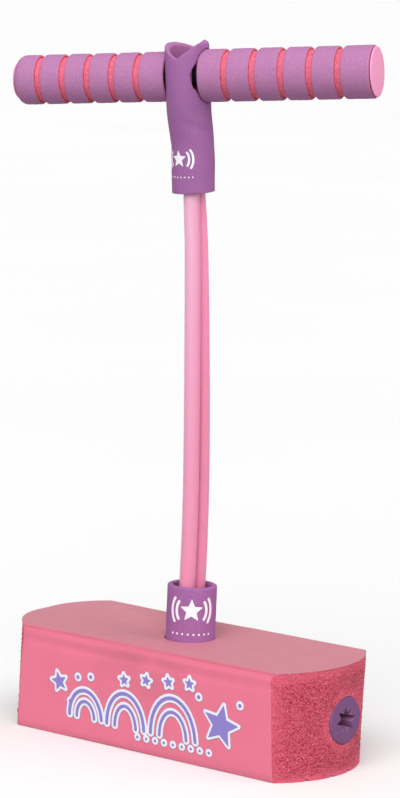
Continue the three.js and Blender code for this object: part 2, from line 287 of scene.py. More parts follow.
# ---- materials ----
class Look:
    """A Principled material and a few node shortcuts. Lengths are millimetres."""

    def __init__(self, name, on_cad=False, **constant):
        self.material = bpy.data.materials.new(name)
        self.material.use_nodes = True
        self.tree = self.material.node_tree
        self.shader = self.tree.nodes["Principled BSDF"]
        self.fill(self.shader, constant)
        if on_cad:
            place = self.add("TexCoord").outputs["Object"]
            self.place = self.vectors("MULTIPLY", place, (1 / MM, 1 / MM, 1 / MM))
        else:
            grain = self.add("Attribute")
            grain.attribute_name = "grain"
            self.place = grain.outputs["Vector"]

    def join(self, source, socket):
        if isinstance(source, bpy.types.NodeSocket):
            self.tree.links.new(source, socket)
        else:
            socket.default_value = source

    def fill(self, node, values):
        for name, value in values.items():
            self.join(value, node.inputs[name.replace("_", " ")])

    def add(self, kind, **values):
        node = self.tree.nodes.new("ShaderNode" + kind)
        self.fill(node, values)
        return node

    def maths(self, operation, *values):
        node = self.add("Math")
        node.operation = operation
        for value, socket in zip(values, node.inputs):
            self.join(value, socket)
        return node.outputs[0]

    def times(self, first, *rest):
        for value in rest:
            first = self.maths("MULTIPLY", first, value)
        return first

    def vectors(self, operation, a, b, output="Vector"):
        node = self.add("VectorMath")
        node.operation = operation
        self.join(a, node.inputs[0])
        self.join(b, node.inputs[1])
        return node.outputs[output]

    def stretched(self, x, y, z):
        return self.vectors("MULTIPLY", self.place, (x, y, z))

    def axes(self):
        return self.add("SeparateXYZ", Vector=self.place).outputs

    def noise(self, size, detail=3.0, rough=0.55, place=None):
        place = place or self.place
        node = self.add("TexNoise", Vector=place, Scale=1 / size, Detail=detail, Roughness=rough)
        return node.outputs["Fac"]

    def cells(self, size, pick=False, place=None):
        """Distance to the nearest cell's middle; with pick, also a number of its own for each cell."""
        node = self.add("TexVoronoi", Vector=place or self.place, Scale=1 / size)
        if not pick:
            return node.outputs["Distance"]
        split = self.add("SeparateColor", Color=node.outputs["Color"])
        return node.outputs["Distance"], split.outputs[0]

    def ramp(self, value, low, high, to_low=0.0, to_high=1.0):
        limits = dict(From_Min=low, From_Max=high, To_Min=to_low, To_Max=to_high)
        return self.add("MapRange", Value=value, **limits).outputs["Result"]

    def mix(self, factor, a, b):
        node = self.add("Mix")
        node.data_type = "RGBA"
        self.join(factor, node.inputs[0])
        for colour, socket in ((a, node.inputs[6]), (b, node.inputs[7])):
            self.join((*colour, 1) if isinstance(colour, tuple) else colour, socket)
        return node.outputs[2]

    def tint(self, colour, other, value, low, high, most=1.0):
        """Turns the colour into the other one as value goes from low to high."""
        return self.mix(self.ramp(value, low, high, 0.0, most), colour, other)

    def bump(self, height, depth, strength=1.0, before=None):
        node = self.add("Bump", Strength=strength, Distance=depth * MM, Height=height)
        if before is not None:
            self.join(before, node.inputs["Normal"])
        return node.outputs["Normal"]

    def finish(self, colour, roughness, normal=None):
        self.fill(self.shader, dict(Base_Color=colour, Roughness=roughness))
        if normal is not None:
            self.join(normal, self.shader.inputs["Normal"])
        return self.material


def shade(colour, k):
    return tuple(min(1.0, c * k) for c in colour)


def skin_foam():
    """Smooth moulded skin of the block: satin and mottled, with painted shade along its top and bottom edges,
    a painted darker and greyer top and a painted reflection in front of the collar.
    """
    look = Look("foam_skin", Specular_IOR_Level=0.42, Sheen_Weight=0.12, Sheen_Roughness=0.5)
    # The top is a darker, greyer copy of the side's colour: painted shade, as the top gets less light, with a
    # painted pale sheen.
    side, top = (0.765, 0.16, 0.255), (0.545, 0.16, 0.211)
    _, y, z = look.axes()
    above = look.maths("SUBTRACT", z, BLOCK_HEIGHT)
    cloudy = look.noise(26, 4, 0.6)
    base = look.tint(side, shade(side, 0.86), cloudy, 0.35, 0.7, 0.35)
    base = look.tint(base, (0.80, 0.23, 0.32), look.noise(1.6, 3, 0.6), 0.45, 0.75, 0.2)
    # Painted shade: the rounding under the top's edge is darkened.
    base = look.tint(base, shade(side, 0.84), above, -5.6, -2.6)

    # Painted shade: a dark line along the top's edge, where the rounding turns from the light, but not in the
    # dent round the collar.
    off_edge = look.ramp(look.maths("ABSOLUTE", y), 49.0, 46.5)
    dent = look.times(off_edge, look.ramp(above, -9, -6))
    crease = look.ramp(look.noise(3.2, 2, 0.5, look.stretched(0.25, 1, 1)), 0.25, 0.6, 0.7, 1.0)
    line = look.times(look.ramp(above, -2.3, -1.1), look.ramp(above, -0.12, -0.6), crease)
    base = look.mix(look.times(line, look.ramp(dent, 1.0, 0.0)), base, (0.53, 0.088, 0.14))

    # The flat top and the dent round the collar take that painted top colour.
    flat_top = look.maths("MAXIMUM", look.ramp(above, -1.2, -0.3), dent)
    base = look.mix(flat_top, base, look.tint(top, shade(top, 0.9), cloudy, 0.35, 0.7, 0.3))
    # Painted reflection and shadow of the collar: a patchy redder smear on the top in front of it.
    away = look.vectors("DISTANCE", look.place, (0, -40, BLOCK_HEIGHT), "Value")
    collar_reflection_patches = look.ramp(look.noise(17, 3, 0.6, look.stretched(0.45, 1, 1)), 0.3, 0.62)
    base = look.mix(look.times(look.ramp(away, 60, 16, 0.0, 0.75), collar_reflection_patches), base, (0.565, 0.128, 0.195))
    # Painted shade: darker towards the sole along the bottom edge.
    base = look.tint(base, shade(side, 0.6), z, 5.5, 0.5, 0.45)
    normal = look.bump(look.noise(0.9, 2), 0.05, 0.6)
    normal = look.bump(look.noise(7, 3), 0.25, 0.6, normal)
    return look.finish(base, look.ramp(look.noise(9, 4), 0.3, 0.7, 0.44, 0.6), normal)


def cut_foam(name, base, pore, glint_colour, size=1.0, sheen=0.06, block_end=False):
    """Foam where it was cut: open cells with dark pores, a few pale broken walls and a few painted glints."""
    look = Look(name, Specular_IOR_Level=0.15, Sheen_Weight=sheen, Sheen_Roughness=0.6)
    drawn = look.stretched(1, 0.72, 1)
    cells, which = look.cells(size, True, drawn)
    small, rare = look.cells(0.6 * size, True, drawn)
    walls = (1.25 * base[0], 2.7 * base[1], 2.2 * base[2])
    colour = look.tint(base, shade(base, 0.84), look.noise(14, 3), 0.35, 0.65, 0.45)
    colour = look.tint(colour, walls, small, 0.45, 0.8, 0.6)
    holes = look.times(look.ramp(cells, 0.44, 0.24), look.ramp(which, 0.3, 0.6, 0.15, 1.0))
    pits = look.times(look.ramp(small, 0.42, 0.2), look.ramp(rare, 0.4, 0.6, 0.1, 0.8))
    if block_end:
        # Fewer pores and a paler pink near the rim and the bung, where the foam is denser, with some painted
        # light in the rim's pink; paler towards the back is painted light on the side that faces the fill
        # lamp.
        _, y, z = look.axes()
        bore = look.vectors("DISTANCE", look.stretched(0, 1, 1), (0, BORE_Y, BORE_Z), "Value")
        middle = look.ramp(look.maths("ABSOLUTE", y), 53, 43, 0.25, 1.0)
        for value, low, high in ((z, 0.5, 8.0), (z, 75.0, 67.0), (bore, 17.5, 27.0)):
            middle = look.times(middle, look.ramp(value, low, high, 0.3, 1.0))
        holes, pits = look.times(holes, middle), look.times(pits, middle)
        colour = look.mix(middle, (0.66, 0.105, 0.165), colour)
        colour = look.tint(colour, (0.84, 0.145, 0.225), y, 14, 52, 0.65)
    colour = look.mix(pits, look.mix(holes, colour, pore), pore)
    # Painted glints: tiny bright highlights on a few cell walls.
    glint = look.times(look.ramp(small, 0.4, 0.2), look.ramp(rare, 0.09, 0.05))
    colour = look.mix(glint, colour, glint_colour)
    normal = look.bump(look.maths("ADD", cells, small), 0.2 * size, 0.6)
    normal = look.bump(look.noise(3.5 * size, 3, 0.6), 0.25, 0.4, normal)
    return look.finish(colour, look.ramp(small, 0.1, 0.6, 0.95, 0.75), normal)


def fine_foam(name, base, pale, dark, size=0.42, drawn=(1, 1, 1), grain=0.5):
    """Close-celled foam with a skived outside: tiny pores and faint drag marks."""
    look = Look(name, Specular_IOR_Level=0.3, Sheen_Weight=0.14, Sheen_Roughness=0.4,
                Sheen_Tint=(*shade(pale, 1.15), 1))
    marks = look.noise(0.9, 3, 0.65, look.stretched(*drawn))
    pores = look.cells(size)
    colour = look.tint(base, shade(base, 0.9), look.noise(15, 2, 0.5), 0.3, 0.7, 0.35)
    colour = look.tint(colour, pale, marks, 0.42, 0.75, grain)
    colour = look.tint(colour, dark, marks, 0.5, 0.25, grain)
    colour = look.tint(colour, shade(dark, 0.7), pores, 0.28, 0.1, 0.45)
    normal = look.bump(pores, 0.5 * size, 0.5)
    normal = look.bump(marks, 0.14, 0.6, normal)
    return look.finish(colour, look.ramp(marks, 0.3, 0.7, 0.92, 0.72), normal)


def rubber_cord():
    """Dipped latex: satin, with faint flow lines along it, a painted pale sheen on its lit side and painted
    shade on the rear run.

    Its texture runs along the loop: the front run is below 475 mm and the rear run above that.
    """
    look = Look("cord_rubber", Specular_IOR_Level=0.5, Coat_Weight=0.12, Coat_Roughness=0.35,
                Subsurface_Weight=0.5, Subsurface_Scale=0.002)
    run = look.axes()[2]
    flow = look.noise(2.2, 3, 0.6, look.stretched(1, 1, 0.04))
    colour = look.tint((0.71, 0.225, 0.365), (0.67, 0.195, 0.325), flow, 0.35, 0.7, 0.3)
    colour = look.tint(colour, (0.755, 0.25, 0.40), look.noise(30, 2, 0.5), 0.4, 0.7, 0.35)
    # Painted sheen: a pale bloom up the front run, faint on the side away from the light.
    shaded_side = (0.78 / CORD_RADIUS, 0.62 / CORD_RADIUS, 0)
    facing = look.vectors("DOT_PRODUCT", look.place, shaded_side, "Value")
    painted_sheen = look.times(look.ramp(run, 60, 360, 0.0, 0.95), look.ramp(run, 480, 430),
                       look.ramp(facing, 0.85, -0.35, 0.15, 1.0))
    colour = look.mix(painted_sheen, colour, (0.775, 0.42, 0.585))
    # Painted shade: the rear run is a deeper pink, as it sits in shade.
    rear_run_shade = look.times(look.ramp(run, 750, 600, 0.0, 0.9), look.ramp(run, 490, 540))
    colour = look.mix(rear_run_shade, colour, (0.86, 0.268, 0.465))
    colour = look.tint(colour, (0.68, 0.19, 0.33), look.cells(2.4), 0.1, 0.05, 0.35)
    return look.finish(colour, look.ramp(flow, 0.3, 0.7, 0.36, 0.5), look.bump(flow, 0.08, 0.5))


def moulded(name, base, rough, size=0.5, **constant):
    """Moulded plastic or rubber of a CAD node: fine grain, faint flow marks and handling wear."""
    look = Look(name, True, **constant)
    flow = look.noise(9, 3, 0.6, look.stretched(0.2, 1, 1))
    grain = look.noise(size, 2)
    colour = look.tint(base, shade(base, 0.86), flow, 0.35, 0.7, 0.5)
    worn = look.ramp(look.noise(2.2, 4, 0.7), 0.58, 0.72, 0.0, 0.3)
    colour = look.mix(worn, colour, shade(base, 0.7))
    rough = look.ramp(grain, 0.3, 0.7, rough - 0.08, rough + 0.1)
    return look.finish(colour, rough, look.bump(grain, 0.04, 0.6))


def ink(name, base, dull):
    """Screen-printed ink: slightly uneven, thin in places where the foam's pores show."""
    look = Look(name, Specular_IOR_Level=0.4)
    thin = look.noise(0.8, 3, 0.65)
    colour = look.tint(base, shade(base, 0.93), look.noise(6, 2), 0.35, 0.7, 0.4)
    colour = look.tint(colour, dull, thin, 0.6, 0.78, 0.55)
    return look.finish(colour, look.ramp(thin, 0.3, 0.7, 0.45, 0.65), look.bump(thin, 0.04, 0.6))


def floor_look():
    look = Look("studio_floor", True, Specular_IOR_Level=0.2)
    tone = look.ramp(look.noise(900, 2), 0.3, 0.7)
    return look.finish(look.mix(tone, (0.82, 0.82, 0.82), (0.84, 0.84, 0.84)), 0.9)


LOOKS = {
    "skin": skin_foam(),
    "cut": cut_foam("foam_cut", (0.495, 0.053, 0.093), (0.27, 0.004, 0.016), (0.85, 0.36, 0.45),
                    1.45, block_end=True),
    "bore": cut_foam("foam_bore", (0.42, 0.07, 0.11), (0.1, 0.01, 0.02), (0.6, 0.3, 0.34), 1.6, 0.1),
    "plug": fine_foam("plug_foam", (0.165, 0.064, 0.172), (0.23, 0.1, 0.24), (0.11, 0.04, 0.115), 0.5),
    # Painted light: a lighter copy of the plug foam for the walls inside the star.
    "plug_in": fine_foam("plug_foam_lit", (0.30, 0.125, 0.27), (0.4, 0.18, 0.36), (0.2, 0.07, 0.18), 0.5),
    "sleeve": fine_foam("sleeve_foam", (0.31, 0.115, 0.305), (0.39, 0.16, 0.385), (0.25, 0.09, 0.25),
                        0.36, (1, 1, 0.5), 0.35),
    "sleeve_cut": fine_foam("sleeve_cut", (0.39, 0.145, 0.345), (0.47, 0.20, 0.42), (0.31, 0.11, 0.275),
                            0.5),
    "band": fine_foam("band_foam", (0.405, 0.165, 0.34), (0.50, 0.225, 0.43), (0.33, 0.125, 0.285),
                      0.4, (0.6, 1, 1), 0.55),
    "core": cut_foam("core_foam", (0.70, 0.112, 0.195), (0.42, 0.03, 0.06), (0.95, 0.4, 0.5), 0.7),
    # Painted shade: a darker copy of the core foam for the walls in the gap beside a cap.
    "seam": cut_foam("core_foam_shaded", (0.42, 0.036, 0.082), (0.2, 0.01, 0.03), (0.6, 0.2, 0.3), 0.7),
    "cap": fine_foam("cap_foam", (0.92, 0.335, 0.56), (0.93, 0.52, 0.68), (0.72, 0.25, 0.44), 0.5,
                     grain=0.3),
    "cord": rubber_cord(),
    "tube": moulded("bar_plastic", (0.022, 0.017, 0.026), 0.75, Specular_IOR_Level=0.2),
    "rod": moulded("rod_plastic", (0.80, 0.79, 0.76), 0.42),
    "bulb": moulded("bulb_rubber", (0.86, 0.82, 0.72), 0.5),
    "reed": moulded("reed_plastic", (0.66, 0.06, 0.045), 0.32),
    "white_ink": ink("ink_white", (0.86, 0.82, 0.87), (0.62, 0.42, 0.62)),
    "violet_ink": ink("ink_violet", (0.25, 0.20, 0.55), (0.45, 0.4, 0.66)),
    "halo_ink": ink("ink_halo", (0.80, 0.78, 0.87), (0.82, 0.5, 0.6)),
    "line_ink": ink("ink_line", (0.42, 0.27, 0.36), (0.6, 0.2, 0.3)),
}


def wear(obj, *looks):
    """Gives the piece its materials and keeps which face has which."""
    kinds = [p.material_index for p in obj.data.polygons]
    obj.data.materials.clear()
    for look in looks:
        obj.data.materials.append(LOOKS[look])
    obj.data.polygons.foreach_set("material_index", kinds)
    return obj


def add_piece(obj, body, nodes=(), looks=(), matrix=STILL):
    wear(obj, *looks)
    set_grain(obj, placed(mesh_points(obj.data), matrix.inverted()))
    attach(obj, body)
    if nodes:
        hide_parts(*nodes)
    return obj


# ---- foot block ----
GRID = 1.3  # distance between the points of the block's section
STATIONS = 126  # sections along the block
END_RINGS = 30  # rings of points from a cut end's rim to its bore
BORE_RINGS = 7  # rings from the bore's mouth down to its floor and over it
END_INSET = 0.972  # size of the first ring beside the rim


def end_x(y, z, sign):
    """Where the block's curved end stands at that height and distance from the middle."""
    y, z = np.asarray(y), np.asarray(z)
    half = BLOCK_WIDTH / 2
    radius = (half ** 2 + SAGITTA ** 2) / (2 * SAGITTA)
    narrow = 1 - (TAPER / half) * (1 - z / BLOCK_HEIGHT)
    flat = np.clip(np.abs(y) / narrow, 0, half)
    x = HALF_LENGTH - SAGITTA + (SAGITTA - radius + np.sqrt(radius ** 2 - flat ** 2)) * narrow
    if sign > 0:
        return x
    across = flat / half
    swell = smooth((z - 30) / 46) * (LEFT_SWELL * np.sin(math.pi * across) - LEFT_CORNER * across ** 6)
    return -x - swell + LEFT_SLANT * (z - LEFT_PLUMB) / BLOCK_HEIGHT


def section_loop():
    """Block section as (y, z, normal y, normal z), anticlockwise from the middle of the sole."""
    foot = BLOCK_WIDTH / 2 - TAPER
    flare = math.atan(TAPER / BLOCK_HEIGHT)
    shoulder = BLOCK_HEIGHT - TOP_ROUND
    stops = [(0.0, 0.0)]
    for t in TREADS:
        stops += [(t - TREAD_MOUTH, 0.0), (t - TREAD_BED, TREAD_DEPTH),
                  (t + TREAD_BED, TREAD_DEPTH), (t + TREAD_MOUTH, 0.0)]
    stops.append((foot - SOLE_ROUND, 0.0))
    right = []
    for (y0, z0), (y1, z1) in zip(stops, stops[1:]):
        n = max(1, round(abs(y1 - y0) / GRID))
        right += [(y0 + (y1 - y0) * i / n, z0 + (z1 - z0) * i / n, 0, -1) for i in range(n)]
    right += [(foot - SOLE_ROUND + 0.05 + SOLE_ROUND * ny, SOLE_ROUND * (1 + nz), ny, nz)
              for ny, nz in arc(0, 0, 1, 1, -QUARTER, -flare, 5)]
    n = round((shoulder - SOLE_ROUND) / GRID)
    right += [(foot + TAPER * z / BLOCK_HEIGHT, z, math.cos(flare), -math.sin(flare))
              for z in np.linspace(SOLE_ROUND, shoulder, n + 1)[1:-1]]
    right += [(BLOCK_WIDTH / 2 - TOP_ROUND - 0.12 + TOP_ROUND * ny, shoulder + TOP_ROUND * nz, ny, nz)
              for ny, nz in arc(0, 0, 1, 1, -flare, QUARTER, 9)]
    edge = right[-1][0]
    right += [(y, BLOCK_HEIGHT, 0, 1) for y in np.linspace(edge, 0, round(edge / GRID) + 1)[1:-1]]
    left = [(-y, z, -ny, nz) for y, z, ny, nz in reversed(right) if y > 1e-6]
    return np.array([*right, (0.0, BLOCK_HEIGHT, 0, 1), *left])


def skin_offset(p, normal):
    """How far the moulded skin stands off the plain shape: waves, a soft rim and the collar's dent."""
    x, y, z = p.T
    side = np.abs(normal[:, 1]) ** 2
    top = np.clip(normal[:, 2], 0, 1) ** 2
    offset = 0.28 * wave(p, 55, 2) + 0.1 * wave(p, 16, 5)
    rim = -0.55 * np.exp(-((z - 65.5) / 2.6) ** 2) + 0.1 * np.exp(-((z - 70.5) / 2.2) ** 2)
    offset += side * rim * (0.75 + 0.4 * wave(p * (1, 0, 0), 30, 8))
    offset -= side * 0.35 * smooth((9 - z) / 9)
    away = np.hypot((x - COLLAR_PIVOT.x) / 1.35, y - COLLAR_PIVOT.y) - COLLAR_OUTER
    offset -= top * 1.5 * (1 - smooth(away / 30))
    offset *= np.where(normal[:, 2] < -0.5, 0.0, 1.0)
    return offset - 0.25 * side - 0.2 * top


def end_rings(rim, sign):
    """Rough rings from the rim to the bore's mouth, then plain ones down the bore and over its floor.

    Over the tread grooves the first ring is lifted clear of them.
    """
    n = len(rim)
    centre = np.array([BORE_Y, BORE_Z])
    start = centre + (rim[:, 1:] - centre) * END_INSET
    over_treads = np.where(rim[:, 2] < 3.0, 3.1 - start[:, 1], 0) * smooth((46 - np.abs(rim[:, 1])) / 8)
    start[:, 1] += np.clip(over_treads, 0, None)
    away = start - centre
    mouth = centre + away / np.linalg.norm(away, axis=1)[:, None] * BORE_RADIUS
    rings = []
    for k in range(END_RINGS + 1):
        last = k == END_RINGS
        yz = start + (mouth - start) * (k / END_RINGS)
        x = end_x(yz[:, 0], yz[:, 1], sign)
        plain = np.column_stack([x, yz])
        x = x + sign * (0.4 * wave(plain, 14, 11 + sign) - 0.45)
        x = x + RNG.normal(0, 0.15 if last else 0.3, n) * (0.9 + 0.5 * wave(plain, 4, 3))
        yz = yz + RNG.normal(0, 0.14, (n, 2)) * (not last)
        rings.append(np.column_stack([x, yz]))
    floor = np.full(n, sign * BORE_START)
    for t in (0.25, 0.5, 0.75, 1.0):
        rings.append(np.column_stack([x * (1 - t) + floor * t, mouth]))
    for k in (1, 2, 3):
        rings.append(np.column_stack([floor, centre + (mouth - centre) * (1 - k / 3.2)]))
    return rings


def foot_block():
    y, z, *turned_to = section_loop().T
    n = len(y)
    normal = np.column_stack([np.zeros(n), *turned_to])
    left, right = end_x(y, z, -1), end_x(y, z, 1)
    rows = []
    for t in np.linspace(0, 1, STATIONS):
        p = np.column_stack([left * (1 - t) + right * t, y, z])
        p = p + normal * skin_offset(p, normal)[:, None]
        p[:, 2] += LEFT_LIFT * smooth((-p[:, 0] - 50) / 70) * smooth((z - 45) / 30)
        rows.append(p)
    rings = [*reversed(end_rings(rows[0], -1)), *rows, *end_rings(rows[-1], 1)]
    slots = []
    end = (2, BORE_RINGS), (1, END_RINGS + 1)
    for kind, steps in (*end, (0, STATIONS - 1), *reversed(end)):
        slots += [kind] * steps * n
    block = loft("block_foam", np.concatenate(rings), len(rings), [*slots, 2, 2])

    foam = ("skin", "cut", "bore")
    ledge, mouth = COLLAR_LOW - 0.95, COLLAR_OUTER + 0.55
    lathe = [(0, WELL_FLOOR), (WELL_RADIUS, WELL_FLOOR), (WELL_RADIUS, ledge), (mouth, ledge),
             (mouth, 90), (0, 90)]
    well = turned("well", lathe, Matrix.Translation((COLLAR_PIVOT.x, COLLAR_PIVOT.y, 0)), 72, [2] * 6)
    hole = ROD_RADIUS + 0.35
    along = Matrix.Translation((0, 0, ROD_Z)) @ Matrix.Rotation(QUARTER, 4, "Y")
    passage = turned("passage", [(0, -ROD_END), (hole, -ROD_END), (hole, ROD_END), (0, ROD_END)],
                     along, 40, [2] * 4)
    cut(wear(block, *foam), wear(well, *foam), wear(passage, *foam))
    sharp_edges(block, 48)
    return add_piece(block, "base", ["foam_block"], foam)


def end_plug(side, sign):
    """Foam bung with a flat face and a cut eight-point star, a little off the block's middle."""
    turn = Matrix.Translation((0, BORE_Y, BORE_Z)) @ Matrix.Rotation(sign * QUARTER, 4, "Y")
    turn = turn @ Matrix.Diagonal((1, 1.035, 1, 1))
    profile = [(r, 136.75 - 0.5 * (r / 16) ** 2) for r in (0, 3, 6, 9, 11.5, 13.5, 14.8)]
    profile += arc(15.25, 134.75, 1.6, 1.6, QUARTER - 0.25, 0, 7)
    profile += [(16.8, 126), (16.7, 120), (16.6, 115.4), (15.8, 114.6), (0, 114.6)]
    plug = turned(f"plug_{side}", profile, turn, 72, lumps=0.14, seed=4 + sign)
    star = []
    for i in range(16):
        a = i * math.pi / 8 + 0.1 * sign
        r = STAR_ROOT if i % 2 else STAR_TIP + 1.6 * abs(math.sin(a)) + 0.5 * math.sin(3 * i + sign)
        star.append(np.array((r * math.cos(a), r * math.sin(a))))
    outline = [p + (q - p) * k / 3 for p, q in zip(star, [*star[1:], star[0]]) for k in range(3)]
    walls = [(*(p * (1.03 - 0.075 * k)), 139 - 5 * k) for k in range(6) for p in outline]
    cut(plug, loft("star", placed(walls, turn), 6))
    # Faces inside the star get the lighter copy of the foam: painted light.
    inward = turn.inverted()
    for face in plug.data.polygons:
        middle = inward @ (face.center / MM)
        face.material_index = int(math.hypot(middle.x, middle.y) < STAR_TIP + 2.6 and middle.z < 136)
    sharp_edges(plug, 40)
    add_piece(plug, "base", [f"end_plug_{side}"], ["plug", "plug_in"])


# ---- collar ----
def collar():
    low, high = COLLAR_LOW - COLLAR_PIVOT.z, COLLAR_HIGH - COLLAR_PIVOT.z
    profile = [(COLLAR_INNER, low + 0.5), (COLLAR_INNER + 0.5, low), (COLLAR_OUTER - 0.5, low)]
    profile += [(COLLAR_OUTER, z) for z in np.linspace(low + 0.5, high - 1.5, 17)]
    profile += arc(COLLAR_OUTER - 1.3, high - 1.3, 1.3, 1.3, math.pi / 12, math.pi * 5 / 12, 5)
    profile += arc(COLLAR_INNER + 1.1, high - 1.1, 1.1, 1.1, QUARTER, math.pi, 6)
    profile += [(COLLAR_INNER, high - 1.1 - i * (high - low - 3) / 8) for i in range(1, 8)]
    piece = turned("collar_foam", profile, COLLAR_MATRIX, 96, lumps=0.16, seed=6)
    return add_piece(piece, "collar", ["base_collar"], ["sleeve"], COLLAR_MATRIX)


# ---- elastic cord ----
CORD_STEP = 1.6  # distance between the cord's rings
SPLITS = (85, 152)  # heights where the cord's pieces meet


def catmull_rom(points, closed, per_span):
    """Centripetal Catmull-Rom curve through the points."""
    p = [np.array(q, float) for q in points]
    if closed:
        p = [p[-1], *p, p[0], p[1]]
    else:
        p = [2 * p[0] - p[1], *p, 2 * p[-1] - p[-2]]
    out = []

    def between(one, other, start, stop, t):
        return (one * (stop - t) + other * (t - start)) / (stop - start)

    for a, b, c, d in zip(p, p[1:], p[2:], p[3:]):
        t0 = 0.0
        t1 = t0 + np.linalg.norm(b - a) ** 0.5
        t2 = t1 + np.linalg.norm(c - b) ** 0.5
        t3 = t2 + np.linalg.norm(d - c) ** 0.5
        for k in range(per_span):
            t = t1 + (t2 - t1) * k / per_span
            ab, bc, cd = between(a, b, t0, t1, t), between(b, c, t1, t2, t), between(c, d, t2, t3, t)
            abc, bcd = between(ab, bc, t0, t2, t), between(bc, cd, t1, t3, t)
            out.append(between(abc, bcd, t1, t2, t))
    if not closed:
        out.append(p[-2])
    return np.array(out)


def on_handle(x, y, z):
    return np.array(HANDLE @ Vector((x, y, z)))


CENTRE = catmull_rom(
    [(0, 0, 20), (0, 0, 58), (0.6, 0.48, 85), (1.5, 1.2, 113), (2.5, 2.0, 170), (2.3, 1.8, 230),
     (1.1, 0.9, 315), (-0.5, 0.4, 365), on_handle(0.7, 0, -80), on_handle(0.9, 0, -64),
     on_handle(0.7, 0, -48), on_handle(0, 0, 0)], False, 24)


def strand(side, z):
    """Centre of the front (-1) or rear (1) run at that height; 0 gives the middle of the two."""
    twist = TURN * np.clip((z - TWIST_LOW) / (TWIST_HIGH - TWIST_LOW), 0, 1) ** 1.8
    half = CORD_HALF + (LOW_LOOP - CORD_HALF) * smooth((PART_LOW - z) / (PART_LOW - ROD_Z))
    middle = np.array([np.interp(z, CENTRE[:, 2], CENTRE[:, k]) for k in (0, 1)] + [z])
    return middle + side * half * np.array([-math.sin(twist), math.cos(twist), 0])


def high_strand(side, down):
    half = CORD_HALF + (HIGH_LOOP - CORD_HALF) * smooth((PART_HIGH - down) / PART_HIGH)
    return on_handle(0.9 * smooth(down / 50), side * half, -down)


def cord_route():
    """The endless loop, from the lowest point up the front, over the bar and down the back."""
    def climb(side):
        low = [(0, side * LOW_LOOP * math.sin(t), ROD_Z - LOW_LOOP * math.cos(t))
               for t in np.radians((15, 35, 55, 75))]
        heights = (39, 44, 50, 56, 63, 75, 95, 120, 150, 185, 220, 255, 290, 325, 355, 376)
        runs = [strand(side, z) for z in heights]
        high = [high_strand(side, down) for down in (72, 60, 49, 41, 33, 25, 17, 9)]
        over = [on_handle(0, side * HIGH_LOOP * math.cos(t), HIGH_LOOP * math.sin(t))
                for t in np.radians((0, 20, 40, 60, 78))]
        return low + runs + high + over

    points = [(0, 0, ROD_Z - LOW_LOOP), *climb(-1), on_handle(0, 0, HIGH_LOOP), *reversed(climb(1))]
    dense = catmull_rom(points, True, 40)
    dense = np.vstack([dense, dense[:1]])
    along = np.concatenate([[0], np.cumsum(np.linalg.norm(np.diff(dense, axis=0), axis=1))])
    where = np.linspace(0, along[-1], round(along[-1] / CORD_STEP) + 1)[:-1]
    return np.column_stack([np.interp(where, along, dense[:, k]) for k in range(3)])


def cord_rings(path, sides=28):
    """Rings of points round the closed path, turned as little as possible from one to the next."""
    n = len(path)
    ahead = np.roll(path, -1, 0) - np.roll(path, 1, 0)
    ahead /= np.linalg.norm(ahead, axis=1)[:, None]
    across = np.array([1.0, 0, 0])
    frames = []
    for i in range(n + 1):
        t = ahead[i % n]
        across = across - t * (across @ t)
        across /= np.linalg.norm(across)
        frames.append((across.copy(), np.cross(t, across)))
    first, last = frames[0], frames[n][0]
    slip = math.atan2(last @ first[1], last @ first[0])
    angle = np.arange(sides) * 2 * math.pi / sides
    rings = []
    for i in range(n):
        u, v = frames[i]
        a = angle - slip * i / n
        r = CORD_RADIUS * (1 + 0.006 * noise.noise(Vector((i * 0.05, 3.1, 0))))
        rings.append(path[i] + r * (np.outer(np.cos(a), u) + np.outer(np.sin(a), v)))
    return np.array(rings)


def pressed_on_bar(points):
    """The stretched cord lies flatter where it bends over the bar."""
    x, y, z = placed(points, HANDLE.inverted()).T
    near = smooth((z + PRESSED_DEPTH) / PRESSED_DEPTH)
    away = np.maximum(np.hypot(y, np.maximum(z, 0)), 1e-6)
    factor = (BAR_CONTACT + (away - BAR_CONTACT) * (1 - PRESSED * near)) / away
    local = np.column_stack([x * (1 + SPREAD * near), y * factor, np.where(z > 0, z * factor, z)])
    return placed(local, HANDLE)


def cord_pieces():
    path = cord_route()
    rings = cord_rings(path)
    rings = pressed_on_bar(rings.reshape(-1, 3)).reshape(rings.shape)
    n, sides = rings.shape[:2]
    top = int(np.argmax(path[:, 2]))

    def nearest(z, start, stop):
        return start + int(np.argmin(np.abs(path[start:stop, 2] - z)))

    low_up, high_up = (nearest(z, 0, top) for z in SPLITS)
    low_down, high_down = (nearest(z, top, n) for z in SPLITS)
    spans = {
        "cord_over_bar": (high_up, high_down, "cord", "neck", (155, 385)),
        "cord_front": (low_up, high_up, "collar", "cord", (98, 150)),
        "cord_rear": (high_down, low_down, "collar", "cord", (98, 150)),
        "cord_under_rod": (low_down, low_up + n, "base", "collar", (45, 75)),
    }
    for name, (start, stop, low, high, (z0, z1)) in spans.items():
        number = np.arange(start, stop + 1)
        piece = loft(name, rings[number % n].reshape(-1, 3), len(number))
        sharp_edges(piece, 60)
        wear(piece, "cord")
        angle = np.tile(np.arange(sides) * 2 * math.pi / sides, len(number))
        run = np.repeat(number * CORD_STEP, sides)
        set_grain(piece, np.column_stack([CORD_RADIUS * np.cos(angle), CORD_RADIUS * np.sin(angle), run]))
        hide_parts("elastic_cord")
        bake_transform(piece)


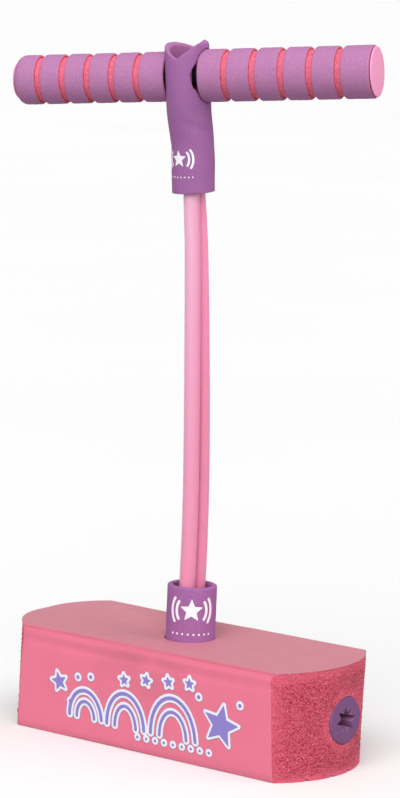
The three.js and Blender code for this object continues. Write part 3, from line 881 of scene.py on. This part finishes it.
# ---- neck sleeve ----
def neck_shell(name, inset):
    """The sleeve's outside, or with an inset the room inside it, which is open at both ends."""
    reach = 2.0 if inset else 0.0
    rows = 76
    angle = np.arange(96) * 2 * math.pi / 96
    points = []
    for z in np.linspace(NECK_LOW - reach, NECK_HIGH + reach, rows):
        swell = smooth((z + 56) / 52) if z < 0 else 1 - 0.55 * smooth((z - 8) / 24)
        sides = NECK_RADIUS - 0.35 * smooth((z + 50) / 60)
        depth = NECK_RADIUS + (NECK_SWOLLEN - NECK_RADIUS) * swell
        bend = 1.25 * (smooth((-22 - z) / 26) - 0.75 * smooth((-54 - z) / 26)) + 0.5 * smooth((z + 20) / 30)
        thick = inset + 0.9 * smooth((z + 25) / 12) * (inset > 0)
        points += [(bend + math.cos(a) * (sides - thick), math.sin(a) * (depth - inset), z) for a in angle]
    return loft(name, points, rows)


def cut_across(sleeve, name, outline, matrix=STILL):
    """Cuts the outline, in the handle's X and Z, right through the sleeve from front to back."""
    points = [(x, y, z) for y in (-60, 60) for x, z in outline]
    cut(sleeve, loft(name, placed(points, matrix), 2))


def open_neck():
    """The sleeve with its bore, the side holes, room for the grips and the two notches in its top."""
    sleeve = cut(neck_shell("neck_foam", 0.0), neck_shell("inside", NECK_WALL))
    for side in SIDES.values():
        along = Matrix.Rotation(side["sign"] * QUARTER, 4, "Y")
        hole = turned("hole", [(0, 0), (1, 0), (1, 40), (0, 40)])
        hole.data.transform(Matrix.Diagonal((side["wide"], side["high"], 1, 1)))
        hole.data.transform(along @ Matrix.Rotation(QUARTER, 4, "Z"))
        r, start = side["radius"] + 0.35, GRIP_START - 0.35
        cut(sleeve, hole, turned("room", [(0, start), (r, start), (r, 60), (0, 60)], along, 72))
    x, z, out = -0.5, 16, 30
    notch = [(x, z), (x + out, z + 0.64 * out), (x + out, 60), (x - out, 60), (x - out, z + 0.51 * out)]
    cut_across(sleeve, "notch", notch, Matrix.Rotation(math.radians(8), 4, "X"))
    tip = [(6, 24.6), (10.5, 23.6), (13, 22.8), (14.3, 21.8), (15, 20.4), (15.4, 18), (30, 18), (30, 60),
           (6, 60)]
    cut_across(sleeve, "tip", tip)
    return sleeve


def neck_sleeve():
    sleeve = open_neck()
    remesh = sleeve.modifiers.new("remesh", "REMESH")
    remesh.mode = "VOXEL"
    remesh.voxel_size = 0.75 * MM
    relax = sleeve.modifiers.new("relax", "SMOOTH")
    relax.factor = 0.5
    relax.iterations = 5
    mesh = bake(sleeve).data
    mesh.polygons.foreach_set("use_smooth", [True] * len(mesh.polygons))
    co = mesh_points(mesh)
    normal = np.empty(co.size)
    mesh.vertices.foreach_get("normal", normal)
    radial = co[:, :2] / np.maximum(np.hypot(co[:, 0], co[:, 1]), 1e-6)[:, None]
    outside = np.clip((normal.reshape(-1, 3)[:, :2] * radial).sum(1), 0, 1)
    x, y, z = co.T
    crease = -0.5 * np.exp(-((z + 30 + 0.5 * x) / 3.5) ** 2) * smooth((x + 4) / 12)
    crease += -0.4 * np.exp(-((z + 44 - 0.3 * x) / 4.0) ** 2) * smooth((6 - x) / 12)
    move = outside * (0.35 * wave(co, 17, 9) - 0.25 + crease * (y < 0))
    co = co + np.column_stack([radial, np.zeros(len(co))]) * move[:, None]
    mesh.vertices.foreach_set("co", (co * MM).astype(np.float32).ravel())
    for face in mesh.polygons:
        middle = Vector(co[list(face.vertices)].mean(0))
        outward = face.normal.xy @ middle.xy.normalized()
        face.material_index = int(outward < 0.45 and (middle.z > -12 or outward > -0.4))
    mesh.transform(Matrix.Scale(MM, 4) @ HANDLE @ Matrix.Scale(1 / MM, 4))
    mesh.update()
    return add_piece(sleeve, "neck", ["neck_sleeve"], ["sleeve", "sleeve_cut"], HANDLE)


# ---- grips ----
EDGE = 1.35  # rounding of a band's edges
ROLLED_EDGE = 6.0  # rounding of the left grip's end
ROLLED_SKIN = 1.45  # thickness of the band that is rolled in there


def grip_core(side, spec, place):
    radius, stop = spec["radius"], spec["end"] - CAP_GAP
    rolled = spec["sign"] < 0
    close = ROLLED_EDGE if rolled else EDGE
    bend = close - 1.6 if rolled else close
    floor = radius - 1.95
    profile = [(GRIP_BORE, GRIP_START + 2.4), (floor - 0.4, GRIP_START + 2.2)]
    profile += [(floor, z) for z in np.arange(GRIP_START + 2.6, stop - close, 1.7)]
    profile += [(min(floor, r), z)
                for r, z in arc(radius - 0.1 - close, stop - close, bend, bend, 0.5, QUARTER, 6)]
    profile.append((GRIP_BORE, stop - close + bend))
    core = turned(f"core_{side}", profile, place, 72, lumps=0.1, seed=12 + spec["sign"])
    add_piece(core, "bar", [f"grip_core_{side}"], ["core"], place)


def grip_band(side, spec, place, i):
    """One of the purple skins between the grooves; the left grip's last one is rolled in at its end."""
    radius, sign = spec["radius"], spec["sign"]
    first, last = i == 0, i == BANDS - 1
    rolled = last and sign < 0
    z0 = GRIP_START if first else spec["first"] + (i - 1) * spec["pitch"] + GROOVE / 2
    z1 = spec["end"] - CAP_GAP if last else spec["first"] + i * spec["pitch"] - GROOVE / 2
    skin = radius - BAND_SKIN
    high = ROLLED_EDGE if rolled else EDGE
    sweep = 1.4 if rolled else min(QUARTER - 0.15, math.acos((high - 1.5) / high))
    profile = [(skin, z0 + 0.2), (skin + 0.25, z0)]
    profile += arc(radius - EDGE, z0 + EDGE, EDGE, EDGE, 0.15 - QUARTER, 0, 7)
    middle = np.linspace(z0 + EDGE, z1 - high, max(3, round((z1 - z0) / 1.6)))[1:-1]
    profile += [(radius + 0.06 * math.sin(z * 1.3 + i), z) for z in middle]
    outer = arc(radius - high, z1 - high, high, high, 0, sweep, 7)
    profile += outer
    if rolled:
        inner = high - ROLLED_SKIN
        profile += arc(radius - high, z1 - high, inner, inner, sweep, 0.2, 6)
        profile.append((skin, z1 - high - 0.4))
    else:
        profile += [(skin + 0.05, outer[-1][1]), (skin, outer[-1][1] - 0.25)]
    kinds = [0] * len(profile)
    if not first:
        kinds[:4] = [1] * 4
    # Walls take the pink core foam; the last band's end, against the cap, takes its darker copy: painted
    # shade in the gap.
    if not rolled:
        kinds[-5:] = [2 if last else 1] * 5
    band = turned(f"band_{side}_{i + 1}", profile, place, 84, kinds, lumps=0.1, seed=20 + i + 7 * sign)
    looks = ["band", "core", "seam"]
    add_piece(band, "bar", [f"grip_band_{side}_{i + 1}"], looks, place)


def end_cap(side, spec, place):
    sign, end = spec["sign"], spec["end"]
    rim = spec["radius"] - (4.6 if sign < 0 else 0.85)
    face = end + CAP_TOP
    profile = [(0, end - 14), (4.4, end - 14), (4.7, end - 13), (4.7, end), (rim - 0.4, end)]
    profile += arc(rim - 0.9, face - 0.9, 0.9, 0.9, 0, QUARTER, 6)
    profile += [(r * rim, face + 0.75 * (1 - (r / 0.95) ** 2)) for r in (0.86, 0.74, 0.6, 0.45, 0.3, 0.15)]
    profile.append((0, face + 0.75))
    cap = turned(f"cap_{side}", profile, place, 84, lumps=0.08, seed=40 + sign)
    add_piece(cap, "bar", [f"end_cap_{side}"], ["cap"], place)


def grip(side, spec):
    place = HANDLE @ Matrix.Rotation(spec["sign"] * QUARTER, 4, "Y")
    grip_core(side, spec, place)
    for i in range(BANDS):
        grip_band(side, spec, place, i)
    end_cap(side, spec, place)


# ---- printed marks ----
def to_line(u, v, line):
    """Distance from each point to a line through the given stops."""
    best = np.full(u.shape, 1e9)
    for (x0, y0), (x1, y1) in zip(line, line[1:]):
        dx, dy = x1 - x0, y1 - y0
        t = np.clip(((u - x0) * dx + (v - y0) * dy) / max(dx * dx + dy * dy, 1e-9), 0, 1)
        best = np.minimum(best, np.hypot(u - x0 - t * dx, v - y0 - t * dy))
    return best


def to_star(u, v, x, y, radius, turn=0.0):
    """Signed distance to a solid five-point star."""
    star = []
    for i in range(10):
        r = 0.45 * radius if i % 2 else radius
        a = QUARTER + turn + i * math.pi / 5
        star.append((x + r * math.cos(a), y + r * math.sin(a)))
    star.append(star[0])
    inside = np.zeros(u.shape, bool)
    for (x0, y0), (x1, y1) in zip(star, star[1:]):
        crosses = (y0 > v) != (y1 > v)
        inside ^= crosses & (u < (x1 - x0) * (v - y0) / (y1 - y0 + 1e-12) + x0)
    return to_line(u, v, star) * np.where(inside, -1, 1)


def to_arc(u, v, x, y, rx, ry, start, stop):
    return to_line(u, v, arc(x, y, rx, ry, math.radians(start), math.radians(stop), 18))


def block_mark(u, v):
    """Three growing bounces that end in a star, with a spray of dots and small stars above."""
    def hoop(x, y, rx, ry):
        return to_arc(u, v, x, y, rx, ry, 178, 2)

    shapes = [hoop(*big) - 1.35 for big in ((-52, 17, 15, 20), (-15, 16, 17, 25), (28, 16, 20, 29))]
    shapes += [hoop(*small) - 1.2 for small in ((-52, 17, 8.2, 12), (-15, 16, 9.6, 16), (28, 16, 12, 19))]
    stars = ((71, 33, 15.5, -0.2), (-76, 40, 7.5, 0.25), (-15, 51, 4.6, 0.1), (5, 54, 4.6, -0.2),
             (25, 56, 4.6, 0.15), (44, 58, 4.6, 0))
    shapes += [to_star(u, v, *star) for star in stars]
    shapes += [np.hypot(u - x, v - y) - 1.5 for x, y in ((-58, 46), (-46, 48), (-66, 27), (52, 50), (88, 50))]
    shapes += [np.hypot(u - x, v - 11.5) - 1.1 for x in range(-4, 61, 8)]
    return np.minimum.reduce(shapes)


def sleeve_mark(u, v):
    """A star between two pairs of arcs, over a row of dots."""
    shapes = [to_star(u, v, 0, 0, 8.6)]
    for x in (0, 180):
        shapes += [to_arc(u, v, 0, 0, r, r, x - 33, x + 33) - 1.05 for r in (11.2, 15.2)]
    shapes += [np.hypot(u - x, v + 17) - 0.75 for x in range(-14, 15, 4)]
    return np.minimum.reduce(shapes)


def small_sleeve_mark(u, v):
    return 0.74 * sleeve_mark(u / 0.74, v / 0.74)


def outline_mesh(distance, u, v, level):
    """Flat cells of the grid where distance is under level, cut along that contour."""
    inside = distance < level
    points, keys, faces = [], {}, []

    def number(one, other):
        """A corner of the grid, or the contour's crossing between two of them."""
        key = min(one, other), max(one, other)
        if key not in keys:
            t = 0
            if one != other:
                t = min(max((level - distance[one]) / (distance[other] - distance[one]), 0.02), 0.98)
            keys[key] = len(points)
            points.append((u[one] + t * (u[other] - u[one]), v[one] + t * (v[other] - v[one])))
        return keys[key]

    for i, j in np.ndindex(distance.shape[0] - 1, distance.shape[1] - 1):
        ring = [(i, j), (i, j + 1), (i + 1, j + 1), (i + 1, j)]
        face = []
        for a, b in zip(ring, [*ring[1:], ring[0]]):
            if inside[a]:
                face.append(number(a, a))
            if inside[a] != inside[b]:
                face.append(number(a, b))
        if len(face) > 2:
            faces.append(face)
    return np.array(points), faces


def printed(name, mark, area, pitch, rays, surface, level, lift, look, body, slot):
    """Thin film of ink over the surface; rays(u, v) gives where to look for it and in which direction."""
    (u0, u1), (v0, v1) = area
    u, v = np.meshgrid(np.arange(u0, u1, pitch), np.arange(v0, v1, pitch))
    flat, faces = outline_mesh(mark(u, v), u, v, level)
    tree = BVHTree.FromObject(surface, bpy.context.evaluated_depsgraph_get())
    points = []
    for p in flat:
        origin, direction = rays(*p)
        hit = tree.ray_cast(origin * MM, direction)[0]
        points.append(hit / MM - direction * lift)
    film = face_out(build(name, points, faces))
    solid = film.modifiers.new("film", "SOLIDIFY")
    solid.thickness = 0.1 * MM
    solid.offset = 0
    add_piece(bake(film), body, looks=[look])


def front_rays(u, v):
    return Vector((u, -90, v)), Vector((0, 1, 0))


def round_rays(matrix, middle, radius, facing):
    """Rays towards a tube's axis, with u = 0 at the angle that the mark faces."""
    def rays(u, v):
        a = math.radians(facing) + u / radius
        out = Vector((math.cos(a), math.sin(a), 0))
        return matrix @ (out * 32 + middle + Vector((0, 0, v))), -(matrix.to_3x3() @ out)
    return rays


def prints(block, ring, sleeve):
    front = dict(mark=block_mark, area=((-90, 95), (6, 66)), pitch=0.62, rays=front_rays, surface=block,
                 body="base", slot="block_foam")
    printed("print_line", level=2.15, lift=0.06, look="line_ink", **front)
    printed("print_halo", level=1.75, lift=0.12, look="halo_ink", **front)
    printed("print_marks", level=0.0, lift=0.18, look="violet_ink", **front)
    white = dict(level=0.0, lift=0.08, look="white_ink", slot="sleeve_foam")
    rays = round_rays(COLLAR_MATRIX, Vector((0, 0, 98 - COLLAR_PIVOT.z)), COLLAR_OUTER, -51)
    printed("print_collar", sleeve_mark, ((-18, 18), (-20, 12)), 0.5, rays, ring, body="collar", **white)
    rays = round_rays(HANDLE, Vector((1, 0, -56)), NECK_RADIUS, -112)
    printed("print_neck", small_sleeve_mark, ((-13, 13), (-15, 9)), 0.4, rays, sleeve, body="neck", **white)


# ---- stage, light and camera ----
def softbox(name, azimuth, elevation, spread, strength):
    """A far, wide lamp; azimuth 0 shines from the front and 90 from the right."""
    lamp = bpy.data.lights.new(name, "SUN")
    lamp.energy = strength
    lamp.angle = math.radians(spread)
    obj = linked(name, lamp)
    a, e = math.radians(azimuth), math.radians(elevation)
    place = Vector((math.sin(a) * math.cos(e), -math.cos(a) * math.cos(e), math.sin(e)))
    obj.location = place * 3
    obj.rotation_euler = (-place).to_track_quat("-Z", "Y").to_euler()


def studio():
    scene = bpy.context.scene
    scene.view_settings.view_transform = "Standard"
    far = 400000
    corners = [(-far, -far, 0), (far, -far, 0), (far, far, 0), (-far, far, 0)]
    floor = build("studio_floor", corners, [(0, 1, 2, 3)])
    floor.data.materials.append(floor_look())
    floor.visible_diffuse = False
    scene.world = bpy.data.worlds.new("studio")
    scene.world.use_nodes = True
    sky = scene.world.node_tree.nodes["Background"]
    sky.inputs["Color"].default_value = (1, 1, 1, 1)
    sky.inputs["Strength"].default_value = 0.46
    softbox("key", 25, 40, 62, 3.0)
    softbox("fill", 112, 20, 60, 1.2)


def add_camera():
    """The photograph's view: long lens, a little above the block, turned towards its right end."""
    turn, rise, roll = math.radians(38.59), math.radians(8.21), math.radians(1.07)
    back = Vector((math.sin(turn) * math.cos(rise), -math.cos(turn) * math.cos(rise), math.sin(rise)))
    level = Vector((math.cos(turn), math.sin(turn), 0))
    over = back.cross(level)
    right = level * math.cos(roll) + over * math.sin(roll)
    up = over * math.cos(roll) - level * math.sin(roll)
    camera = linked("camera", bpy.data.cameras.new("camera"))
    distance, aside, above = 2.1418, 0.00939, 0.24372
    place = back * distance + right * aside + up * above
    camera.matrix_world = axes_matrix(right, up, back, place)
    camera.data.sensor_width = 36
    camera.data.lens = 135.34
    camera.data.clip_start = 0.05
    camera.data.clip_end = 1500
    bpy.context.scene.camera = camera


def main():
    add_camera()
    studio()
    cord_pieces()
    block = foot_block()
    for side, sign in (("left", -1), ("right", 1)):
        end_plug(side, sign)
        wear(frame["nodes"][f"squeaker_bulb_{side}"], "bulb")
        wear(frame["nodes"][f"squeaker_reed_{side}"], "reed")
    wear(frame["nodes"]["anchor_rod"], "rod")
    wear(frame["nodes"]["handlebar_tube"], "tube")
    ring = collar()
    sleeve = neck_sleeve()
    for side, spec in SIDES.items():
        grip(side, spec)
    prints(block, ring, sleeve)


main()
